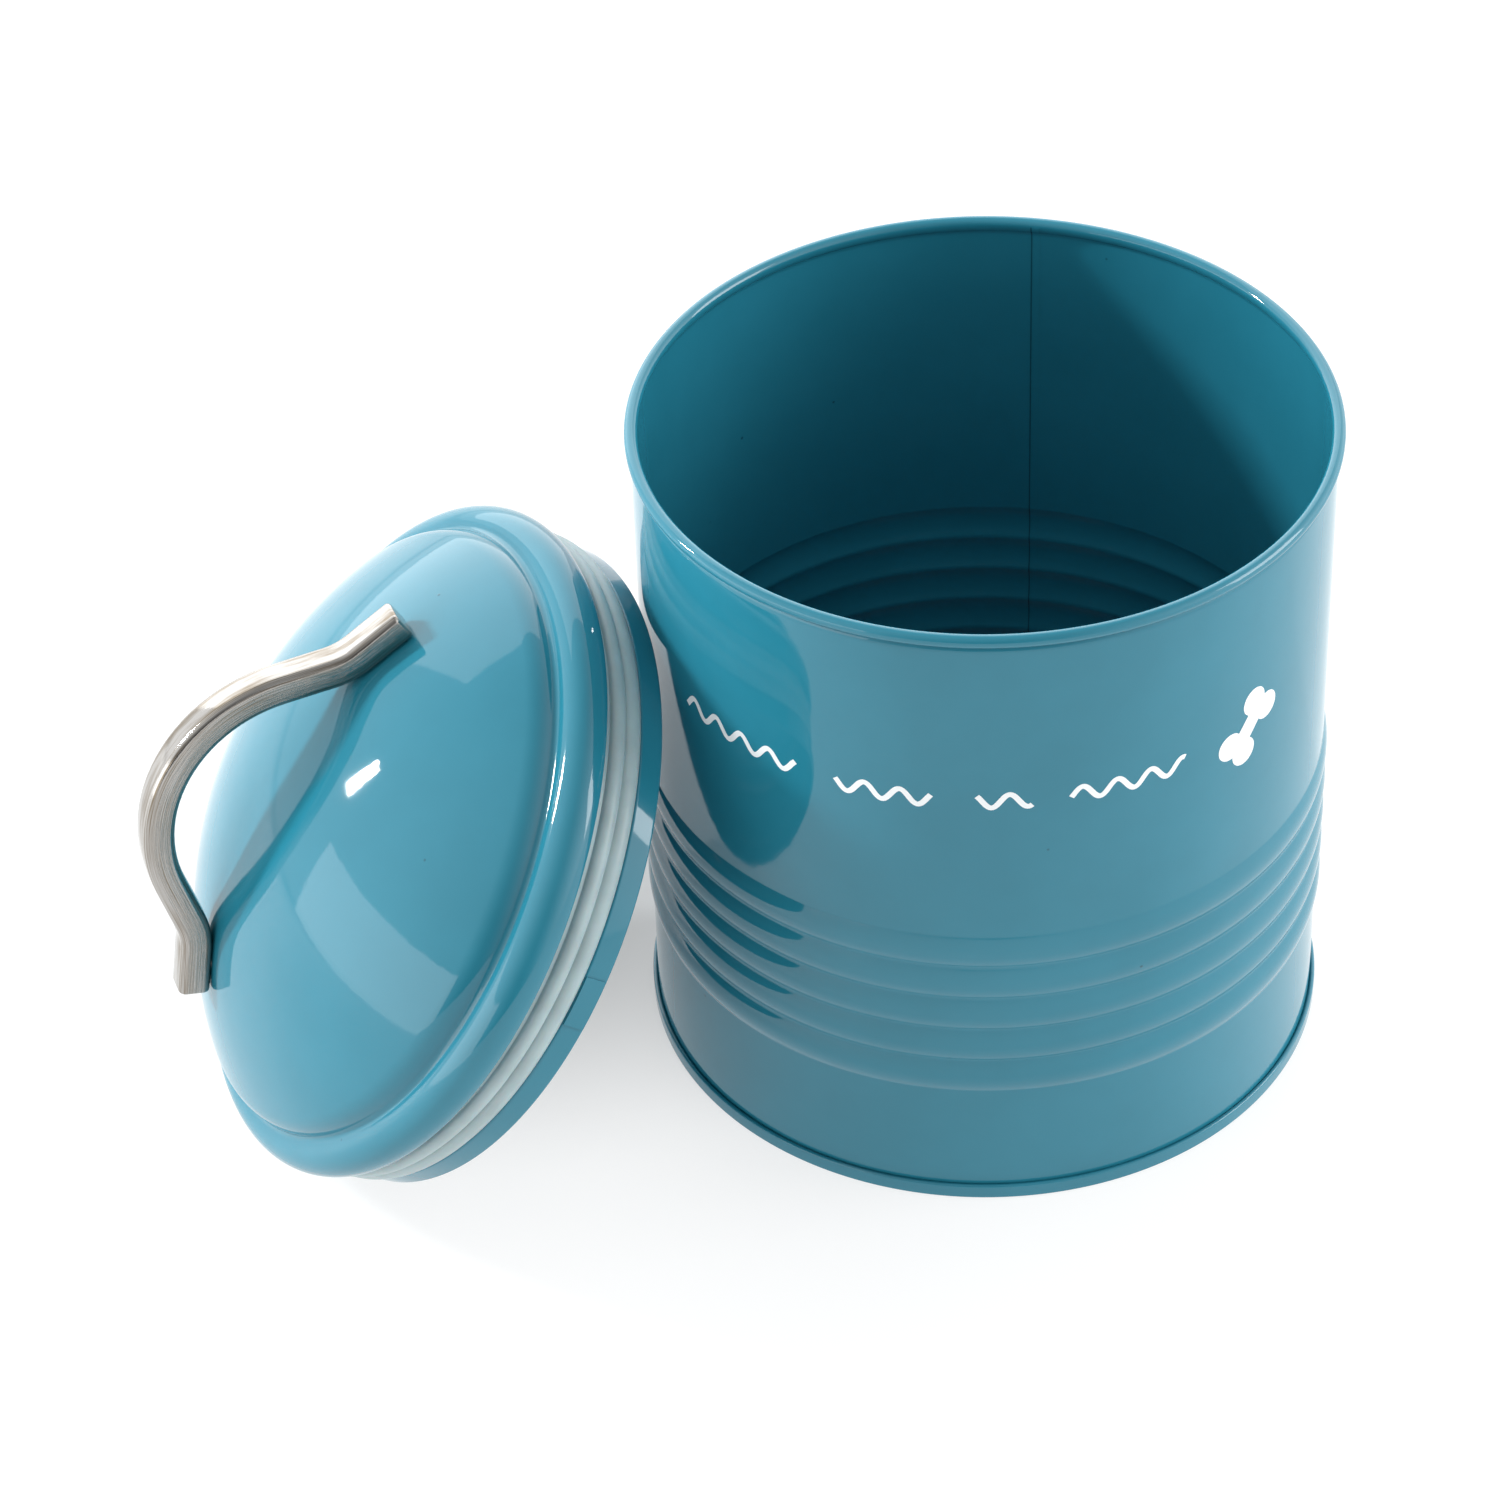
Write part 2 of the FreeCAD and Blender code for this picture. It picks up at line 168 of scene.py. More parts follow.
# ==== materials ==========================================================================
def feed(tree, made, **values):
    """Set or link a node's sockets and settings.

    A key is a socket's name with _ for a space, or inN for socket N. Any other key is one of
    the node's own settings.
    """
    for key, value in values.items():
        name = key.replace("_", " ")
        if key[:2] == "in" and key[2:].isdigit():
            socket = made.inputs[int(key[2:])]
        elif name in made.inputs.keys():
            socket = made.inputs[name]
        else:
            setattr(made, key, value)
            continue
        if isinstance(value, bpy.types.NodeSocket):
            tree.links.new(value, socket)
        else:
            socket.default_value = value


def node(tree, kind, **values):
    made = tree.nodes.new("ShaderNode" + kind)
    feed(tree, made, **values)
    return made


def material(name):
    """New material, with its maker of nodes, its shader's feed and the object's own space."""
    mat = bpy.data.materials.new(name)
    mat.use_nodes = True
    tree = mat.node_tree
    add = partial(node, tree)
    finish = partial(feed, tree, tree.nodes["Principled BSDF"])
    return mat, add, finish, add("TexCoord").outputs["Object"]


def noise(add, place, scale, detail, roughness=0.5):
    made = add("TexNoise", Vector=place, Scale=scale, Detail=detail, Roughness=roughness)
    return made.outputs["Fac"]


def ramp(add, value, low, high, first, last):
    """Colour ramp between two colours or grey levels."""
    made = add("ValToRGB", Fac=value)
    made.color_ramp.elements[0].position = low
    made.color_ramp.elements[1].position = high
    for element, level in zip(made.color_ramp.elements, (first, last)):
        element.color = (*level, 1) if isinstance(level, tuple) else (level, level, level, 1)
    return made.outputs["Color"]


def graded(add, value, first, last, low=0.0, high=1.0):
    """A value carried from one range to another."""
    made = add("MapRange", Value=value, From_Min=low, From_Max=high, To_Min=first, To_Max=last)
    return made.outputs["Result"]


def bump(add, height, strength, distance, **under):
    made = add("Bump", Height=height, Strength=strength, Distance=distance, **under)
    return made.outputs["Normal"]


def scaled(colour, factor):
    return tuple(c * factor for c in colour)


def enamel(name, colour):
    """Gloss stoved enamel: slight cloudiness, orange peel and a few specks under the surface."""
    mat, add, finish, place = material(name)
    pale = tuple(min(1, c * 1.05 + 0.002) for c in colour)
    cloud = noise(add, place, scale=28.0, detail=4.0, roughness=0.6)
    body = ramp(add, cloud, 0.35, 0.68, scaled(colour, 0.96), pale)
    specks = add("TexVoronoi", Vector=place, Scale=170.0, Randomness=1.0)
    dot = ramp(add, specks.outputs["Distance"], 0.03, 0.07, 1.0, 0.0)
    pick = add("SeparateColor", Color=specks.outputs["Color"]).outputs["Red"]
    chosen = ramp(add, pick, 0.93, 0.95, 0.0, 1.0)
    spot = add("Math", operation="MULTIPLY", in0=dot, in1=chosen).outputs[0]
    dark = (*scaled(colour, 0.45), 1)
    speckled = add("Mix", data_type="RGBA", in0=spot, in6=body, in7=dark)
    waves = noise(add, place, scale=55.0, detail=2.0)
    ripple = noise(add, place, scale=420.0, detail=2.0)
    peel = bump(add, waves, strength=0.22, distance=0.0002)
    peel = bump(add, ripple, strength=0.10, distance=0.00006, Normal=peel)
    peel = bump(add, spot, strength=0.35, distance=0.00008, Normal=peel)
    haze = noise(add, place, scale=60.0, detail=5.0, roughness=0.55)
    gloss = graded(add, haze, 0.03, 0.07, low=0.3, high=0.7)
    finish(Base_Color=speckled.outputs[2], Roughness=gloss, Normal=peel, IOR=1.52)
    return mat


def polished(name, colour, roughness, grain):
    """Plain steel with faint marks."""
    mat, add, finish, place = material(name)
    marks = noise(add, place, scale=grain, detail=6.0, roughness=0.7)
    finish(
        Base_Color=ramp(add, marks, 0.3, 0.7, scaled(colour, 0.72), colour),
        Roughness=graded(add, marks, roughness * 0.6, roughness * 1.6),
        Normal=bump(add, marks, strength=0.12, distance=0.0001),
        Metallic=1.0,
    )
    return mat


def drawn(name, colour, dark, roughness):
    """Plated bar: draw lines along its length, from the mesh's own (along, around) map."""
    mat, add, finish, _ = material(name)
    surface = add("TexCoord").outputs["UV"]
    stretched = add("Mapping", Vector=surface, Scale=(0.045, 1.5, 1.0)).outputs["Vector"]
    lines = noise(add, stretched, scale=1.0, detail=7.0, roughness=0.6)
    finish(
        Base_Color=ramp(add, lines, 0.36, 0.56, dark, colour),
        Roughness=graded(add, lines, roughness * 1.6, roughness * 0.6),
        Normal=bump(add, lines, strength=0.25, distance=0.0002),
        Metallic=1.0,
    )
    return mat


def silicone(name, colour):
    """Soft translucent seal with a bloom of fine dust."""
    mat, add, finish, place = material(name)
    bloom = noise(add, place, scale=140.0, detail=6.0, roughness=0.6)
    finish(
        Base_Color=ramp(add, bloom, 0.35, 0.7, scaled(colour, 0.88), colour),
        Roughness=graded(add, bloom, 0.25, 0.5),
        Normal=bump(add, bloom, strength=0.08, distance=0.0001),
        Subsurface_Weight=0.25,
        Subsurface_Scale=0.002,
    )
    return mat


def powdery(name, colour, roughness, scale):
    """Matt surface with fine mottling, for the compound, the print and the floor."""
    mat, add, finish, place = material(name)
    mottle = noise(add, place, scale, detail=5.0, roughness=0.6)
    finish(
        Base_Color=ramp(add, mottle, 0.3, 0.7, scaled(colour, 0.97), colour),
        Roughness=roughness,
        Normal=bump(add, mottle, strength=0.05, distance=0.0001),
    )
    return mat


TEAL = (0.018, 0.185, 0.262)
teal = enamel("teal_enamel", TEAL)
teal_seam = enamel("weld_line", scaled(TEAL, 0.5))
chrome = drawn("handle_chrome", (0.43, 0.42, 0.405), (0.19, 0.155, 0.11), 0.07)
steel = polished("screw_steel", (0.60, 0.60, 0.60), 0.25, 500.0)
rubber = silicone("seal_silicone", (0.36, 0.47, 0.49))
compound = powdery("seam_compound", (0.10, 0.11, 0.115), 0.7, 300.0)
ink = powdery("print_ink", (0.86, 0.89, 0.90), 0.3, 400.0)


# ==== meshes =============================================================================
def left_of(angle):
    return np.array([-math.sin(angle), math.cos(angle)])


def middle_line(start, heading, moves):
    """(spot, angle) pairs along a folded sheet's middle. A move is ("line", length) or
    ("bend", radius, turn in degrees), where a positive turn is to the left."""
    spot = np.array(start, float)
    angle = math.radians(heading)
    line = [(spot, angle)]
    for move in moves:
        if move[0] == "line":
            spot = spot + move[1] * np.array([math.cos(angle), math.sin(angle)])
            line.append((spot, angle))
            continue
        radius, turn = move[1], math.radians(move[2])
        sign = math.copysign(1, turn)
        centre = spot + left_of(angle) * sign * radius
        steps = math.ceil(max(abs(turn) / ARC_STEP, abs(turn) * radius / ARC_CHORD, 3))
        for step in range(1, steps + 1):
            bearing = angle + turn * step / steps
            line.append((centre - left_of(bearing) * sign * radius, bearing))
        spot, angle = line[-1]
    return line


def section(start, heading, moves, thickness=SHEET):
    """Closed outline of a folded sheet, as (radius, height) points."""
    line = middle_line(start, heading, moves)
    near = [spot + left_of(angle) * thickness / 2 for spot, angle in line]
    far = [spot - left_of(angle) * thickness / 2 for spot, angle in reversed(line)]
    return near + far


def piece(name, points, faces, mat, body, place=TIN_PLACE, ways=None):
    """Smooth-shaded mesh piece with sharp corners kept, in metres, riding on a body.

    `ways` gives each point's place on the surface, for a material that follows it.
    """
    bm = bmesh.new()
    verts = [bm.verts.new(Vector(p) * MM) for p in points]
    for face in faces:
        bm.faces.new([verts[i] for i in face])
    if ways is not None:
        bm.verts.index_update()
        layer = bm.loops.layers.uv.new("along_around")
        for face in bm.faces:
            for loop in face.loops:
                loop[layer].uv = ways[loop.vert.index]
    bmesh.ops.remove_doubles(bm, verts=bm.verts, dist=MERGE)
    bmesh.ops.recalc_face_normals(bm, faces=bm.faces)
    for face in bm.faces:
        face.smooth = True
    for edge in bm.edges:
        edge.smooth = edge.calc_face_angle(0) < SHARP
    bmesh.ops.transform(bm, matrix=place, verts=bm.verts)
    mesh = bpy.data.meshes.new(name)
    bm.to_mesh(mesh)
    bm.free()
    mesh.materials.append(mat)
    thing = bpy.data.objects.new(name, mesh)
    bpy.context.scene.collection.objects.link(thing)
    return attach(thing, body)


def strip_faces(size, rings, closed=False):
    """Quads between neighbouring rings of `size` points. A closed strip joins up its ends."""
    faces = []
    for ring in range(rings if closed else rings - 1):
        here, there = ring * size, (ring + 1) % rings * size
        for i in range(size):
            j = (i + 1) % size
            faces.append((here + i, here + j, there + j, there + i))
    return faces


def turned(name, outline, mat, body, place=TIN_PLACE, span=(0, 360)):
    """Outline turned about the Z axis, all the way round or over a span in degrees."""
    whole = span[1] - span[0] >= 360
    steps = math.ceil(SEGMENTS * (span[1] - span[0]) / 360)
    angles = np.radians(np.linspace(*span, steps + 1))
    angles = angles[:-1] if whole else angles
    size = len(outline)
    points = [(r * math.cos(a), r * math.sin(a), z) for a in angles for r, z in outline]
    faces = strip_faces(size, len(angles), whole)
    if not whole:
        faces.append(tuple(range(size)))
        faces.append(tuple(range(steps * size, (steps + 1) * size)))
    return piece(name, points, faces, mat, body, place)


# ==== the tin ============================================================================
def wall_moves():
    """Moves along the wall: its hook, its rise through the beads and neck, and its curl."""
    curl_middle = CURL_RADIUS - SHEET / 2
    neck_radius = RIM_RADIUS - CURL_RADIUS - curl_middle
    neck_turn = math.degrees(math.acos(1 - (WALL_MIDDLE - neck_radius) / (2 * NECK_BEND)))
    neck_height = 2 * NECK_BEND * math.sin(math.radians(neck_turn))
    bead_turn = math.degrees(2 * math.atan(2 * BEAD_DEPTH / BEAD_PITCH))
    valley = BEAD_VALLEY_RADIUS + SHEET / 2
    crest = BEAD_PITCH / (2 * math.sin(math.radians(bead_turn))) - valley
    beads = [("bend", valley, -bead_turn)]
    for _ in range(BEAD_COUNT - 1):
        beads += [("bend", crest, 2 * bead_turn), ("bend", valley, -2 * bead_turn)]
    beads += [("bend", crest, 2 * bead_turn), ("bend", valley, -bead_turn)]
    plain = TIN_HEIGHT - CURL_RADIUS - neck_height - BEADS_START - BEAD_COUNT * BEAD_PITCH
    upper = [("line", plain), ("bend", NECK_BEND, neck_turn), ("bend", NECK_BEND, -neck_turn)]
    curl = [("bend", curl_middle, -CURL_TURN)]
    hook = [("line", HOOK_TOP - FOLD_HEIGHT), ("bend", LAYER, -180)]
    return hook, [("line", BEADS_START - FOLD_HEIGHT), *beads, *upper], curl


def make_wall():
    hook, rise, curl = wall_moves()
    outline = section((WALL_MIDDLE + 2 * LAYER, HOOK_TOP), -90, hook + rise + curl)
    wall = turned("tin_wall", outline, teal, "bin")
    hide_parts("bin_wall")


def make_weld():
    """Lapped side weld at the back: a low welt on both faces with a dark line beside it."""
    foot = PANEL_HEIGHT + WELD_RISE
    rise = [("line", BEADS_START - foot), *wall_moves()[1][1:]]
    for (name, azimuth, width, proud), mat in ((WELD_WELT, teal), (WELD_LINE, teal_seam)):
        outline = section((WALL_MIDDLE, foot), 90, rise, SHEET + 2 * proud)
        span = (azimuth - width / 2, azimuth + width / 2)
        turned(name, outline, mat, "bin", span=span)


def ribbon(path, half_widths):
    """Thin strip of ink on the wall, along (way round, height) points: points and faces."""
    path = np.array(path)
    step = np.gradient(path, axis=0)
    step /= np.hypot(*step.T)[:, None]
    side = np.stack([-step[:, 1], step[:, 0]], 1) * np.array(half_widths)[:, None]
    shares = np.linspace(-1, 1, INK_COLUMNS)
    columns = []
    for reach, order in ((WALL_RADIUS + INK_LIFT, shares), (WALL_RADIUS - INK_LIFT, -shares)):
        for share in order:
            edge = path + side * share
            bearings = edge[:, 0] / WALL_RADIUS
            spots = reach * np.cos(bearings), reach * np.sin(bearings), edge[:, 1]
            columns.append(np.stack(spots, 1))
    points = np.stack(columns, 1).reshape(-1, 3)
    size = len(columns)
    faces = [tuple(range(size)), tuple(range(len(points) - size, len(points)))]
    return points, faces + strip_faces(size, len(path))


def make_print():
    """Plain printed ornament: a broken wavy line round the front, with a bone at its end."""
    strips = []
    for first, last in PRINT_WAVES:
        way = np.radians(np.arange(first, last, PRINT_STEP)) * WALL_RADIUS
        heights = PRINT_HEIGHT + PRINT_SWING * np.sin(way * 2 * math.pi / PRINT_WAVELENGTH)
        strips.append(ribbon(np.stack([way, heights], 1), np.full(len(way), PRINT_LINE / 2)))
    middle = np.array([math.radians(BONE_AZIMUTH) * WALL_RADIUS, PRINT_HEIGHT])
    along = np.array([math.cos(BONE_TILT), math.sin(BONE_TILT)])
    across = np.array([-along[1], along[0]])
    half = BONE_LENGTH / 2
    reach = np.linspace(-half, half, SHAFT_POINTS)
    widths = np.full(SHAFT_POINTS, BONE_SHAFT / 2)
    strips.append(ribbon(middle + reach[:, None] * along, widths))
    turns = np.radians(np.linspace(LOBE_MARGIN, 180 - LOBE_MARGIN, LOBE_POINTS))
    for end in (-half, half):
        for lobe in (-BONE_LOBE * BONE_SPREAD, BONE_LOBE * BONE_SPREAD):
            centre = middle + along * end + across * lobe
            reach = -np.cos(turns) * BONE_LOBE
            strips.append(ribbon(centre + reach[:, None] * along, np.sin(turns) * BONE_LOBE))
    points, faces = [], []
    for spots, quads in strips:
        faces += [tuple(i + len(points) for i in quad) for quad in quads]
        points += list(spots)
    piece("wall_print", points, faces, ink, "bin")


def make_base():
    ring_half = 2 * PANEL_RING_BEND * math.sin(math.radians(PANEL_RING_TURN))
    ring_start = PANEL_RING_RADIUS - ring_half
    foot = 2 * LAYER - SEAM_FOOT_BEND
    moves = [
        ("line", ring_start),
        ("bend", PANEL_RING_BEND, PANEL_RING_TURN),
        ("bend", PANEL_RING_BEND, -2 * PANEL_RING_TURN),
        ("bend", PANEL_RING_BEND, PANEL_RING_TURN),
        ("line", WALL_MIDDLE - LAYER - PANEL_BEND - ring_start - 2 * ring_half),
        ("bend", PANEL_BEND, -90),
        ("line", PANEL_HEIGHT - PANEL_BEND - FOLD_HEIGHT + foot),
        ("bend", SEAM_FOOT_BEND, 90),
        ("line", 2 * foot),
        ("bend", SEAM_FOOT_BEND, 90),
        ("line", foot + TOP_FOLD - FOLD_HEIGHT),
        ("bend", LAYER, 180),
        ("line", TOP_FOLD - FOLD_HEIGHT),
    ]
    base = turned("tin_base", section((0, PANEL_HEIGHT), 0, moves), teal, "bin")
    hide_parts("bin_base")


# ==== the lid ============================================================================
def make_dome():
    crown_centre = DOME_HEIGHT - CROWN_RADIUS
    rise = math.sqrt((CROWN_RADIUS - SHOULDER_RADIUS) ** 2 - SHOULDER_CENTRE**2)
    crown_end = math.degrees(math.atan2(SHOULDER_CENTRE, rise))
    shoulder = np.array([SHOULDER_CENTRE, crown_centre + rise])
    gap = EDGE_BEAD_CENTRE - shoulder
    span = float(np.hypot(*gap))
    near, far = SHOULDER_RADIUS + VALLEY_RADIUS, EDGE_BEAD_RADIUS + VALLEY_RADIUS
    along = (near**2 - far**2 + span**2) / (2 * span)
    across = math.sqrt(near**2 - along**2)
    valley = shoulder + gap / span * along + np.array([-gap[1], gap[0]]) / span * across
    shoulder_end = math.degrees(math.atan2(*(valley - shoulder)))
    bead_start = math.degrees(math.atan2(*(valley - EDGE_BEAD_CENTRE)))
    bead_middle = EDGE_BEAD_RADIUS - SHEET / 2
    turn_in = (bead_middle - EDGE_BEND) * math.sin(math.radians(EDGE_BEAD_END))
    moves = [
        ("bend", CROWN_RADIUS - SHEET / 2, -crown_end),
        ("bend", SHOULDER_RADIUS - SHEET / 2, crown_end - shoulder_end),
        ("bend", VALLEY_RADIUS + SHEET / 2, shoulder_end - bead_start),
        ("bend", bead_middle, bead_start - EDGE_BEAD_END),
        ("bend", EDGE_BEND, EDGE_BEAD_END - 180),
        ("line", EDGE_BEAD_CENTRE[0] + turn_in - HEM_INNER_RADIUS),
    ]
    outline = section((0, DOME_HEIGHT - SHEET / 2), 0, moves)
    dome = turned("dome", outline, teal, "lid", LID_PLACE)
    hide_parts("lid_dome")


def make_skirt():
    middle = SKIRT_RADIUS - SHEET / 2
    hem = SKIRT_BOTTOM + SKIRT_HEM_BEND + SHEET / 2
    lip = SEAL_BOTTOM - CLEARANCE - SHEET / 2
    bead_middle = EDGE_BEAD_RADIUS - SHEET / 2
    turn_height = (bead_middle - EDGE_BEND) * math.cos(math.radians(EDGE_BEAD_END))
    flange = EDGE_BEAD_CENTRE[1] + turn_height - EDGE_BEND + SHEET + CLEARANCE
    channel = CHANNEL_RADIUS - SHEET / 2
    moves = [
        ("line", SKIRT_HEM_HEIGHT),
        ("bend", SKIRT_HEM_BEND, 180),
        ("line", lip - SKIRT_BEND - hem),
        ("bend", SKIRT_BEND, 90),
        ("line", middle - channel - 2 * SKIRT_BEND),
        ("bend", SKIRT_BEND, -90),
        ("line", flange - lip - 2 * SKIRT_BEND),
        ("bend", SKIRT_BEND, -90),
        ("line", FLANGE_RADIUS - channel - SKIRT_BEND),
    ]
    outline = section((middle - 2 * SKIRT_HEM_BEND, hem + SKIRT_HEM_HEIGHT), -90, moves)
    skirt = turned("skirt", outline, teal, "lid", LID_PLACE)
    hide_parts("lid_skirt")


def make_skirt_lap():
    """Overlap of the rolled skirt, where its outer end is welded down."""
    start = (SKIRT_RADIUS + LAP_PROUD, SKIRT_BOTTOM + SKIRT_HEM_BEND)
    outline = section(start, 90, [("line", LAP_HEIGHT)])
    turned("skirt_lap", outline, teal, "lid", LID_PLACE, LAP_SPAN)


def make_seal():
    inner = CHANNEL_RADIUS + CLEARANCE
    outline = [
        (inner + SEAL_CHAMFER, SEAL_BOTTOM),
        (inner, SEAL_BOTTOM + SEAL_CHAMFER),
        (inner, SEAL_TOP),
        (SEAL_BAND_RADIUS, SEAL_TOP),
        (SEAL_BAND_RADIUS, SEAL_TOP - SEAL_BAND_HEIGHT),
    ]
    top = SEAL_TOP - SEAL_BAND_HEIGHT - SEAL_RIB_GAP
    half = SEAL_RIB_HEIGHT / 2
    for crest in SEAL_RIB_RADII:
        bulge = crest - SEAL_GROOVE_RADIUS
        radius = (half**2 + bulge**2) / (2 * bulge)
        reach = math.asin(half / radius)
        for angle in np.linspace(reach, -reach, SEAL_RIB_POINTS):
            out, up = radius * math.cos(angle), radius * math.sin(angle)
            outline.append((crest - radius + out, top - half + up))
        top -= SEAL_RIB_HEIGHT + SEAL_RIB_GAP
    outline.append((SEAL_BAND_RADIUS, SEAL_BOTTOM))
    seal = turned("seal", outline, rubber, "lid", LID_PLACE)
    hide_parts("lid_seal")


def bar_loop(spot, angle, inset):
    """Rounded-rectangle loop across the bar, shrunk by an inset towards its middle."""
    half_width = BAR_WIDTH / 2 - inset
    half_depth = BAR_THICKNESS / 2 - inset
    corner = BAR_CORNER - inset / 2
    up = left_of(angle)
    loop = []
    for quarter in range(4):
        sx = 1 if quarter in (0, 3) else -1
        sy = 1 if quarter in (0, 1) else -1
        for step in np.linspace(0, math.pi / 2, CORNER_POINTS):
            turn = quarter * math.pi / 2 + step
            across = sx * (half_width - corner) + corner * math.cos(turn)
            depth = sy * (half_depth - corner) + corner * math.sin(turn)
            loop.append((spot[0] + up[0] * depth, across, spot[1] + up[1] * depth))
    return loop


def handle_line():
    """Slope of the feet, the unit way along one foot, its end, and the bar's middle line."""
    arch = math.radians(ARCH_TURN)
    slope = math.asin(FOOT_CONTACT_RADIUS / CROWN_RADIUS)
    normal = np.array([math.sin(slope), math.cos(slope)])
    along = np.array([math.cos(slope), -math.sin(slope)])
    arch_drop = ARCH_RADIUS * (1 - math.cos(arch))
    arch_end = np.array([ARCH_RADIUS * math.sin(arch), HANDLE_TOP - arch_drop])
    bend = np.array([math.sin(arch) - math.sin(slope), math.cos(arch) - math.cos(slope)])
    bend *= FOOT_BEND
    height = (arch_end + bend - (0, DOME_HEIGHT - CROWN_RADIUS)) @ normal
    seated = CROWN_RADIUS + CLEARANCE + BAR_THICKNESS / 2
    leg = (height - seated) / math.sin(arch - slope)
    foot_start = arch_end + bend + np.array([math.cos(arch), -math.sin(arch)]) * leg
    foot = (FOOT_END_RADIUS - foot_start[0]) / along[0]
    end = foot_start + along * foot
    elbow = ("bend", FOOT_BEND, ARCH_TURN - math.degrees(slope))
    straight = ("line", leg)
    arc = ("bend", ARCH_RADIUS, -2 * ARCH_TURN)
    moves = [("line", foot), elbow, straight, arc, straight, elbow, ("line", foot)]
    line = middle_line((-end[0], end[1]), math.degrees(slope), moves)
    return slope, along, end, line[1:-1]


def make_handle():
    slope, along, end, line = handle_line()
    ends = []
    rounds = np.linspace(0, math.pi / 2, END_RINGS)
    for side, turns in ((-1, rounds), (1, rounds[::-1])):
        spot = np.array([side * end[0], end[1]])
        out = np.array([side * along[0], along[1]])
        caps = []
        for turn in turns:
            back = out * BAR_END_CORNER * (1 - math.cos(turn))
            inset = BAR_END_CORNER * (1 - math.sin(turn))
            caps.append(bar_loop(spot - back, -side * slope, inset))
        ends.append(caps)
    rings = ends[0] + [bar_loop(spot, angle, 0) for spot, angle in line] + ends[1]
    size = len(rings[0])
    points = [p for ring in rings for p in ring]
    faces = [tuple(range(size)), tuple(range(len(points) - size, len(points)))]
    faces += strip_faces(size, len(rings))
    middles = [np.mean(ring, axis=0) for ring in rings]
    steps = [math.dist(a, b) for a, b in zip(middles, middles[1:])]
    lengths = np.concatenate([[0], np.cumsum(steps)])
    around = 2 * (BAR_WIDTH + BAR_THICKNESS) / size
    ways = [(length, i * around) for length in lengths for i in range(size)]
    handle = piece("handle", points, faces, chrome, "lid", LID_PLACE, ways)
    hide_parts("lid_handle")


make_wall()
make_weld()
make_print()
make_base()
make_dome()
make_skirt()
make_skirt_lap()
make_seal()
make_handle()
for kept, mat in (
    ("base_seam_compound", compound),
    ("handle_screws", steel),
    ("handle_washers", steel),
):
    mesh = frame["nodes"][kept].data
    mesh.materials.clear()
    mesh.materials.append(mat)


# ==== floor, light and camera, in metres =================================================
FLOOR_HALF = 3.0
FLOOR_GLOW = 0.75                 # keeps the floor white
# painted shade: round a fixed spot beside the tin, the floor glows only this much; no light
# casts this shade
PAINTED_SHADE_GLOW = 0.2                  # in the lid's shade, beside the tin
PAINTED_SHADE_SPOT = (-0.095, 0.035, 0)
PAINTED_SHADE_START = 0.02
PAINTED_SHADE_REACH = 0.10
LOOK_AT = Vector((-0.02, 0, 0.09))

# Brightness of the room in each of its main directions. It is dark behind the camera.
ROOM = (
    ((1, 0, 0), 2.4),
    ((-1, 0, 0), 1.25),
    ((0, 1, 0), 1.7),
    ((0, -1, 0), 0.1),
    ((0, 0, 1), 0.35),
    ((-0.73, -0.24, 0.64), 0.5),
)
# Name, azimuth and elevation in degrees, distance, size and watts.
LIGHTS = (
    ("left_light", 172, 24, 1.5, (0.07, 0.22), 17),
    ("soft_right", 0, 20, 1.6, (0.8, 0.8), 11),
    ("low_left", 208, 4, 1.6, (1.8, 0.6), 6),
    ("back_panel", 108, 30, 1.6, (2.0, 1.7), 14),
)
CAMERA_PLACE = Vector((0, -0.7418, 0.6765))
PITCH, ROLL, YAW = (math.radians(v) for v in (39.86, -2.15, 3.48))
LENS = 120
SENSOR = 36


def make_floor():
    mesh = bpy.data.meshes.new("floor")
    ways = ((-1, -1), (1, -1), (1, 1), (-1, 1))
    mesh.from_pydata([(x * FLOOR_HALF, y * FLOOR_HALF, 0) for x, y in ways], [], [(0, 1, 2, 3)])
    mat = powdery("floor", (0.28, 0.28, 0.28), 0.6, 5.0)
    tree = mat.node_tree
    place = node(tree, "TexCoord").outputs["Object"]
    # painted shade: the floor's glow fades smoothly towards a fixed spot, and it stays there
    # whatever the lid does
    reach = node(tree, "VectorMath", operation="DISTANCE", in0=place, in1=PAINTED_SHADE_SPOT)
    glow = node(
        tree,
        "MapRange",
        interpolation_type="SMOOTHSTEP",
        Value=reach.outputs["Value"],
        From_Min=PAINTED_SHADE_START,
        From_Max=PAINTED_SHADE_REACH,
        To_Min=PAINTED_SHADE_GLOW,
        To_Max=FLOOR_GLOW,
    )
    shader = tree.nodes["Principled BSDF"]
    feed(tree, shader, Emission_Color=(1, 1, 1, 1), Emission_Strength=glow.outputs["Result"])
    mesh.materials.append(mat)
    floor = bpy.data.objects.new("floor", mesh)
    bpy.context.scene.collection.objects.link(floor)


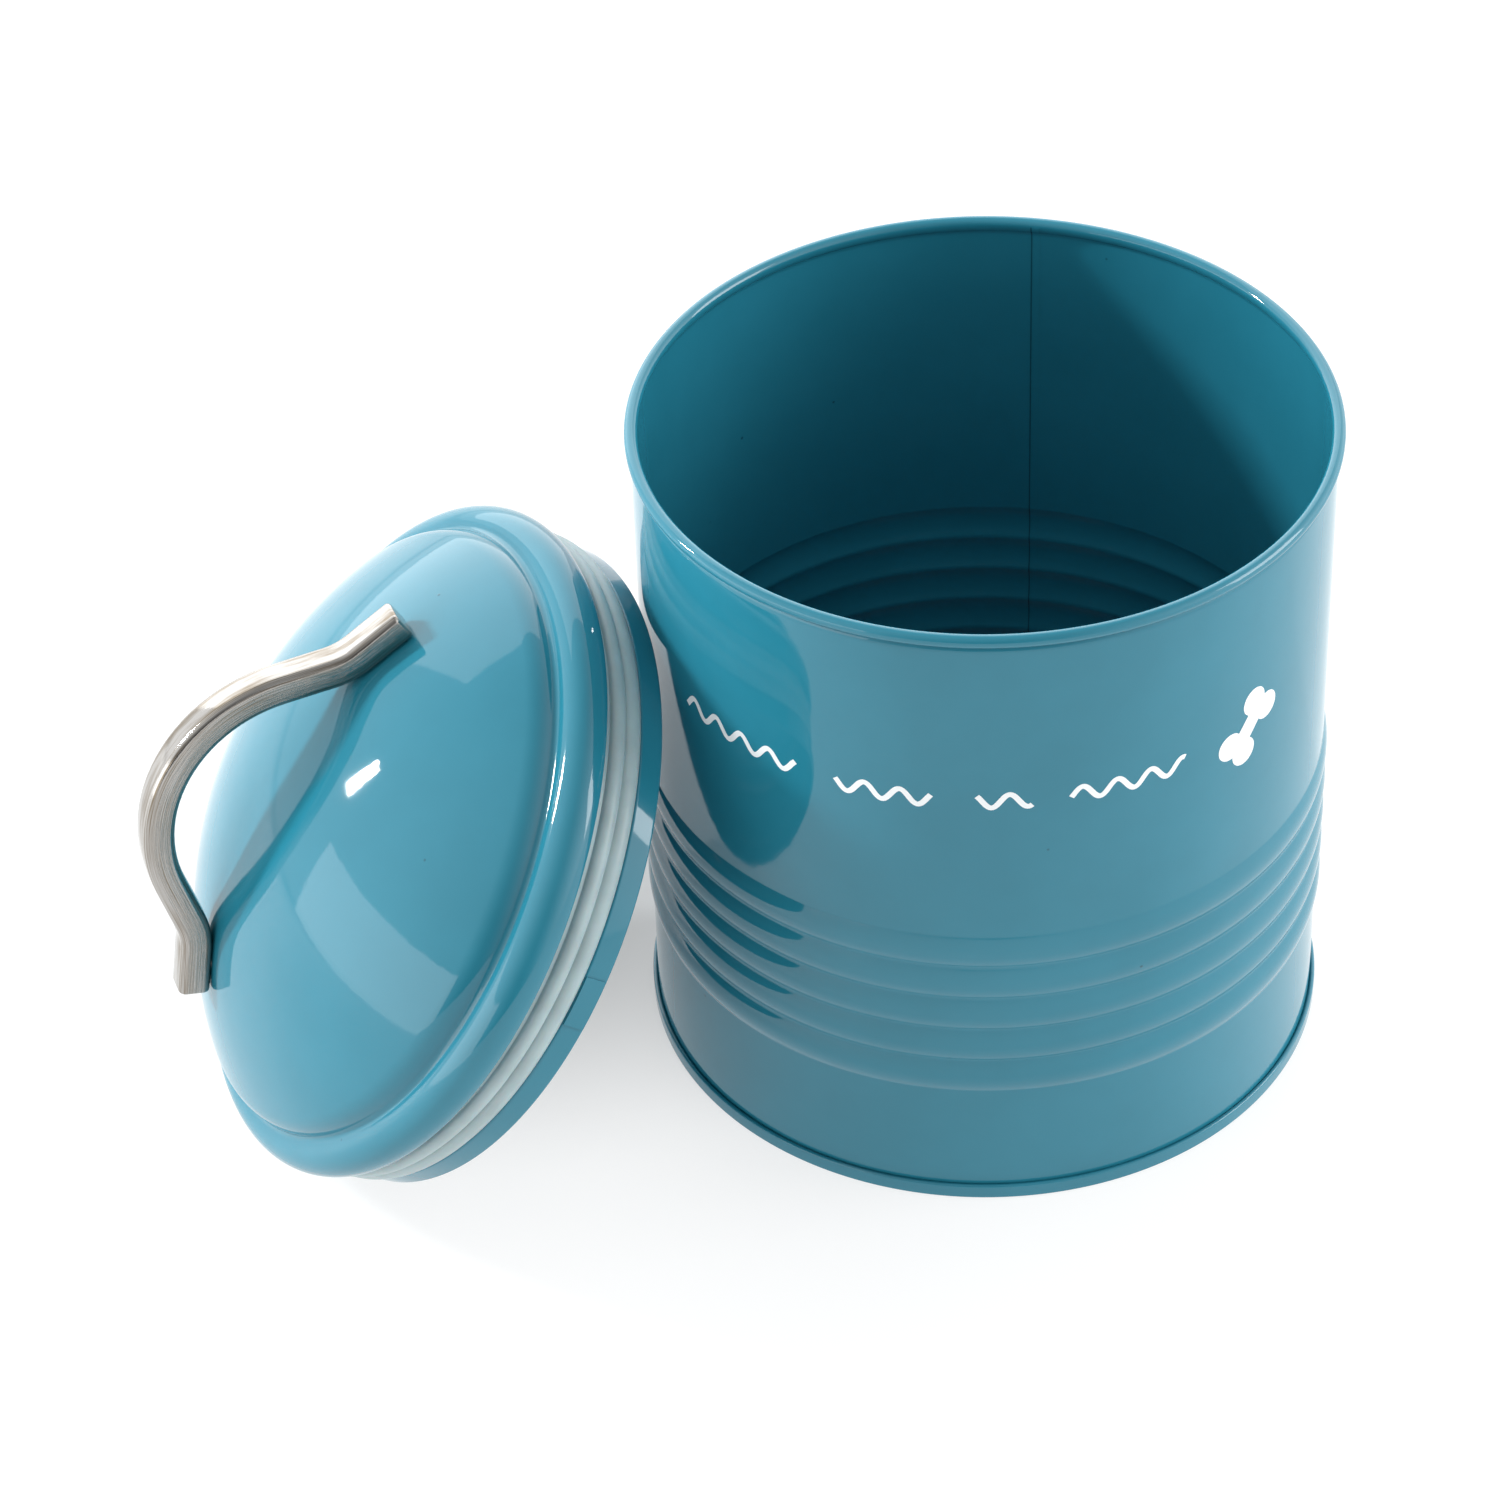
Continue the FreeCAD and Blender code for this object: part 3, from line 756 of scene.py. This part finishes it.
def make_room():
    """Sky whose brightness in a direction is the sum of its lobes, each a squared cosine."""
    world = bpy.data.worlds.new("studio")
    bpy.context.scene.world = world
    world.use_nodes = True
    add = partial(node, world.node_tree)
    way = add("TexCoord").outputs["Generated"]
    total = 0.0
    for axis, level in ROOM:
        facing = add("VectorMath", operation="DOT_PRODUCT", in0=way, in1=axis).outputs["Value"]
        ahead = add("Math", operation="MAXIMUM", in0=facing, in1=0.0).outputs[0]
        squared = add("Math", operation="MULTIPLY", in0=ahead, in1=ahead).outputs[0]
        lobe = add("Math", operation="MULTIPLY_ADD", in0=squared, in1=level, in2=total)
        total = lobe.outputs[0]
    backdrop = world.node_tree.nodes["Background"]
    feed(world.node_tree, backdrop, Color=(1, 1, 1, 1), Strength=total)


def make_light(name, azimuth, elevation, distance, size, watts):
    """Rectangular soft light that faces the object."""
    bearing, height = math.radians(azimuth), math.radians(elevation)
    level = math.cos(height)
    way = Vector((level * math.cos(bearing), level * math.sin(bearing), math.sin(height)))
    light = bpy.data.lights.new(name, "AREA")
    light.shape = "RECTANGLE"
    light.size, light.size_y = size
    light.energy = watts
    lamp = bpy.data.objects.new(name, light)
    lamp.location = LOOK_AT + way * distance
    lamp.rotation_euler = (-way).to_track_quat("-Z", "Y").to_euler()
    bpy.context.scene.collection.objects.link(lamp)


def make_camera():
    reach = math.cos(PITCH)
    ahead = Vector((-math.sin(YAW) * reach, math.cos(YAW) * reach, -math.sin(PITCH)))
    level = Vector((math.cos(YAW), math.sin(YAW), 0))
    upward = level.cross(ahead)
    side = level * math.cos(ROLL) + upward * math.sin(ROLL)
    above = upward * math.cos(ROLL) - level * math.sin(ROLL)
    turn = Matrix((side, above, -ahead)).transposed()
    data = bpy.data.cameras.new("camera")
    data.sensor_width = SENSOR
    data.lens = LENS
    camera = bpy.data.objects.new("camera", data)
    camera.matrix_world = Matrix.Translation(CAMERA_PLACE) @ turn.to_4x4()
    bpy.context.scene.collection.objects.link(camera)
    bpy.context.scene.camera = camera
    bpy.context.scene.view_settings.view_transform = "Standard"


make_floor()
make_room()
for light in LIGHTS:
    make_light(*light)
make_camera()
